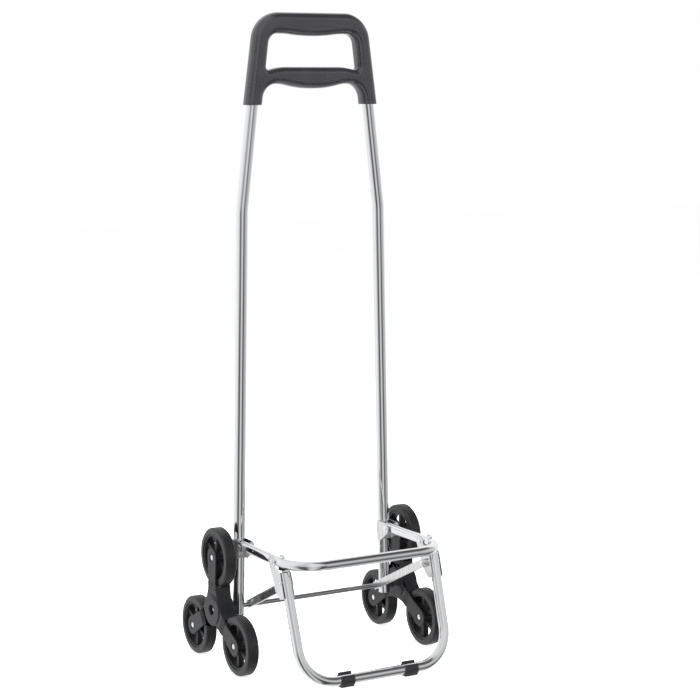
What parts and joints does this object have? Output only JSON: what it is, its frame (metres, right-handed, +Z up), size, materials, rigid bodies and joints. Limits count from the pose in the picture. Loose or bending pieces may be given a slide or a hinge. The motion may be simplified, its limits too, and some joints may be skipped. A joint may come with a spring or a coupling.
{
  "type": "folding shopping trolley frame",
  "caption": "Tall aluminium hand trolley with a double plastic grip, three-wheel stair-climbing clusters on an axle, and a folding tube shelf and leg braced by hooked struts.",
  "frame": {"origin": "on the floor, under the middle of the outside box", "axes": "+Z up the uprights, -Y the front where the shelf and leg stand, X along the axle"},
  "size_m": [0.3744, 0.3412, 1.0392],
  "materials": {
    "tube_aluminium": "polished drawn tube",
    "bracket_steel": "zinc-plated pressed sheet",
    "rivet_steel": "bright plated",
    "axle_steel": "drawn rod",
    "grip_plastic": "moulded, soft sheen",
    "carrier_plastic": "moulded, fine texture",
    "hub_plastic": "moulded",
    "tyre_rubber": "solid soft tread",
    "clip_plastic": "moulded"
  },
  "bodies": {
    "frame": {"upright_left": "tube_aluminium", "upright_right": "tube_aluminium", "handle_grip": "grip_plastic", "grip_screws": "rivet_steel", "hinge_bracket_left": "bracket_steel", "hinge_bracket_right": "bracket_steel", "bracket_rivets": "rivet_steel", "shelf_pins": "rivet_steel", "pivot_washers": "rivet_steel", "axle": "axle_steel", "axle_caps": "rivet_steel", "axle_bushes": "rivet_steel", "axle_sleeves": "clip_plastic", "upright_foot_plugs": "clip_plastic"},
    "shelf": {"shelf_loop": "tube_aluminium", "stop_buffers": "clip_plastic", "buffer_rivets": "rivet_steel"},
    "leg": {"leg_loop": "tube_aluminium", "leg_bracket_left": "bracket_steel", "leg_bracket_right": "bracket_steel", "leg_plugs": "clip_plastic", "leg_pins": "rivet_steel", "leg_rivets": "rivet_steel", "strut_pins": "rivet_steel", "foot_clip_left": "clip_plastic", "foot_clip_right": "clip_plastic"},
    "strut_left": {"strut_left": "bracket_steel"},
    "strut_right": {"strut_right": "bracket_steel"},
    "cluster_left": {"carrier_left": "carrier_plastic", "wheel_pins_left": "rivet_steel"},
    "wheel_left_top": {"wheel_hub_left_top": "hub_plastic", "wheel_tyre_left_top": "tyre_rubber"},
    "wheel_left_front": {"wheel_hub_left_front": "hub_plastic", "wheel_tyre_left_front": "tyre_rubber"},
    "wheel_left_back": {"wheel_hub_left_back": "hub_plastic", "wheel_tyre_left_back": "tyre_rubber"},
    "cluster_right": {"carrier_right": "carrier_plastic", "wheel_pins_right": "rivet_steel"},
    "wheel_right_top": {"wheel_hub_right_top": "hub_plastic", "wheel_tyre_right_top": "tyre_rubber"},
    "wheel_right_front": {"wheel_hub_right_front": "hub_plastic", "wheel_tyre_right_front": "tyre_rubber"},
    "wheel_right_back": {"wheel_hub_right_back": "hub_plastic", "wheel_tyre_right_back": "tyre_rubber"}
  },
  "joints": [
    {"name": "shelf_fold", "type": "hinge", "parent": "frame", "child": "shelf", "pos_m": [0, 0.02646, 0.192], "axis": [-1, 0, 0], "range_deg": [0, 90]},
    {"name": "leg_fold", "type": "hinge", "parent": "shelf", "child": "leg", "pos_m": [0, -0.08004, 0.1915], "axis": [1, 0, 0], "range_deg": [0, 108]},
    {"name": "strut_left_fold", "type": "hinge", "parent": "leg", "child": "strut_left", "pos_m": [-0.11915, -0.09704, 0.1599], "axis": [-1, 0, 0], "range_deg": [0, 72]},
    {"name": "strut_right_fold", "type": "hinge", "parent": "leg", "child": "strut_right", "pos_m": [0.11915, -0.09704, 0.1599], "axis": [-1, 0, 0], "range_deg": [0, 72]},
    {"name": "cluster_left_turn", "type": "hinge", "parent": "frame", "child": "cluster_left", "pos_m": [-0.1726, 0.04896, 0.0903], "axis": [1, 0, 0], "continuous": true},
    {"name": "wheel_left_top_roll", "type": "hinge", "parent": "cluster_left", "child": "wheel_left_top", "pos_m": [-0.1726, 0.04896, 0.1759], "axis": [1, 0, 0], "continuous": true},
    {"name": "wheel_left_front_roll", "type": "hinge", "parent": "cluster_left", "child": "wheel_left_front", "pos_m": [-0.1726, -0.02517, 0.0475], "axis": [1, 0, 0], "continuous": true},
    {"name": "wheel_left_back_roll", "type": "hinge", "parent": "cluster_left", "child": "wheel_left_back", "pos_m": [-0.1726, 0.12309, 0.0475], "axis": [1, 0, 0], "continuous": true},
    {"name": "cluster_right_turn", "type": "hinge", "parent": "frame", "child": "cluster_right", "pos_m": [0.1726, 0.04896, 0.0903], "axis": [1, 0, 0], "continuous": true},
    {"name": "wheel_right_top_roll", "type": "hinge", "parent": "cluster_right", "child": "wheel_right_top", "pos_m": [0.1726, 0.04896, 0.1759], "axis": [1, 0, 0], "continuous": true},
    {"name": "wheel_right_front_roll", "type": "hinge", "parent": "cluster_right", "child": "wheel_right_front", "pos_m": [0.1726, -0.02517, 0.0475], "axis": [1, 0, 0], "continuous": true},
    {"name": "wheel_right_back_roll", "type": "hinge", "parent": "cluster_right", "child": "wheel_right_back", "pos_m": [0.1726, 0.12309, 0.0475], "axis": [1, 0, 0], "continuous": true}
  ],
  "couplings": [
    {"joint": "leg_fold", "follows": "shelf_fold", "ratio": 1.2},
    {"joint": "strut_left_fold", "follows": "shelf_fold", "ratio": 0.8},
    {"joint": "strut_right_fold", "follows": "shelf_fold", "ratio": 0.8}
  ]
}
